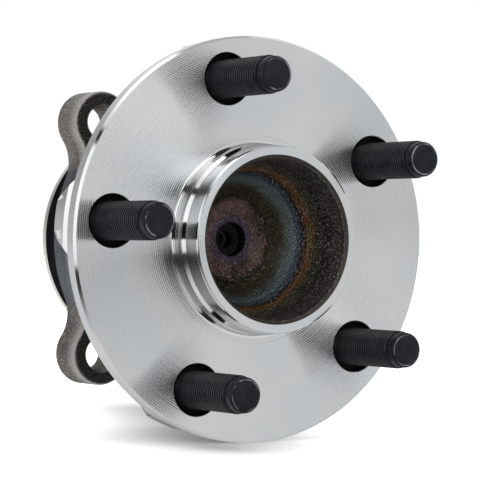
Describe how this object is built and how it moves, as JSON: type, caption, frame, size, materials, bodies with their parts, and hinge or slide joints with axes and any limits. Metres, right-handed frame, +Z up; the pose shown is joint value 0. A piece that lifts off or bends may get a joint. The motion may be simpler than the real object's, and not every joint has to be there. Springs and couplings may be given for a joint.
{
  "type": "wheel hub bearing",
  "caption": "Flanged wheel hub with pressed-in wheel studs, running on a double-row ball bearing in an outer ring with threaded ears that bolts to the knuckle.",
  "frame": {"origin": "centre of the machined flange face that the brake disc and wheel sit on, on the axis of rotation", "axes": "Y is the axis of rotation: -Y points outboard to the wheel, +Y inboard to the knuckle. +Z is up, and the four ears stand at 45 degrees to it. +X follows from the right-hand rule."},
  "size_m": [0.15, 0.1218, 0.15],
  "materials": {
    "turned_steel": "fine turned faces, forged and heat-tinted inside the pilot",
    "forged_steel": "shot-blasted forging with turned and ground seats",
    "black_stud": "matt black coating over a rolled thread",
    "bearing_steel": "ground",
    "ball_steel": "lapped, mirror bright",
    "cage_nylon": "moulded glass-filled nylon",
    "seal_case_steel": "pressed sheet",
    "seal_rubber": "moulded, matt",
    "stainless_sheet": "pressed stainless sheet",
    "magnet_rubber": "moulded magnetic rubber",
    "plated_sheet": "zinc-plated deep-drawn sheet"
  },
  "bodies": {
    "outer_ring_set": {"outer_ring": "forged_steel", "outboard_seal_case": "seal_case_steel", "outboard_seal_lip": "seal_rubber", "inboard_seal_case": "seal_case_steel", "inboard_seal_lip": "seal_rubber", "end_cap": "plated_sheet"},
    "hub_set": {"hub_flange": "turned_steel", "wheel_stud_1": "black_stud", "wheel_stud_2": "black_stud", "wheel_stud_3": "black_stud", "wheel_stud_4": "black_stud", "wheel_stud_5": "black_stud", "inner_ring": "bearing_steel", "seal_slinger": "stainless_sheet", "encoder_ring": "magnet_rubber"},
    "outboard_ball_set": {"outboard_cage": "cage_nylon", "outboard_ball_01": "ball_steel", "outboard_ball_02": "ball_steel", "outboard_ball_03": "ball_steel", "outboard_ball_04": "ball_steel", "outboard_ball_05": "ball_steel", "outboard_ball_06": "ball_steel", "outboard_ball_07": "ball_steel", "outboard_ball_08": "ball_steel", "outboard_ball_09": "ball_steel", "outboard_ball_10": "ball_steel", "outboard_ball_11": "ball_steel", "outboard_ball_12": "ball_steel", "outboard_ball_13": "ball_steel", "outboard_ball_14": "ball_steel"},
    "inboard_ball_set": {"inboard_cage": "cage_nylon", "inboard_ball_01": "ball_steel", "inboard_ball_02": "ball_steel", "inboard_ball_03": "ball_steel", "inboard_ball_04": "ball_steel", "inboard_ball_05": "ball_steel", "inboard_ball_06": "ball_steel", "inboard_ball_07": "ball_steel", "inboard_ball_08": "ball_steel", "inboard_ball_09": "ball_steel", "inboard_ball_10": "ball_steel", "inboard_ball_11": "ball_steel", "inboard_ball_12": "ball_steel", "inboard_ball_13": "ball_steel", "inboard_ball_14": "ball_steel"}
  },
  "joints": [
    {"name": "hub_spin", "type": "hinge", "parent": "outer_ring_set", "child": "hub_set", "pos_m": [0, 0, 0], "axis": [0, 1, 0], "continuous": true},
    {"name": "outboard_set_orbit", "type": "hinge", "parent": "outer_ring_set", "child": "outboard_ball_set", "pos_m": [0, 0.038, 0], "axis": [0, 1, 0], "continuous": true},
    {"name": "inboard_set_orbit", "type": "hinge", "parent": "outer_ring_set", "child": "inboard_ball_set", "pos_m": [0, 0.064, 0], "axis": [0, 1, 0], "continuous": true}
  ],
  "couplings": [
    {"joint": "outboard_set_orbit", "follows": "hub_spin", "ratio": 0.4228},
    {"joint": "inboard_set_orbit", "follows": "hub_spin", "ratio": 0.4228}
  ]
}
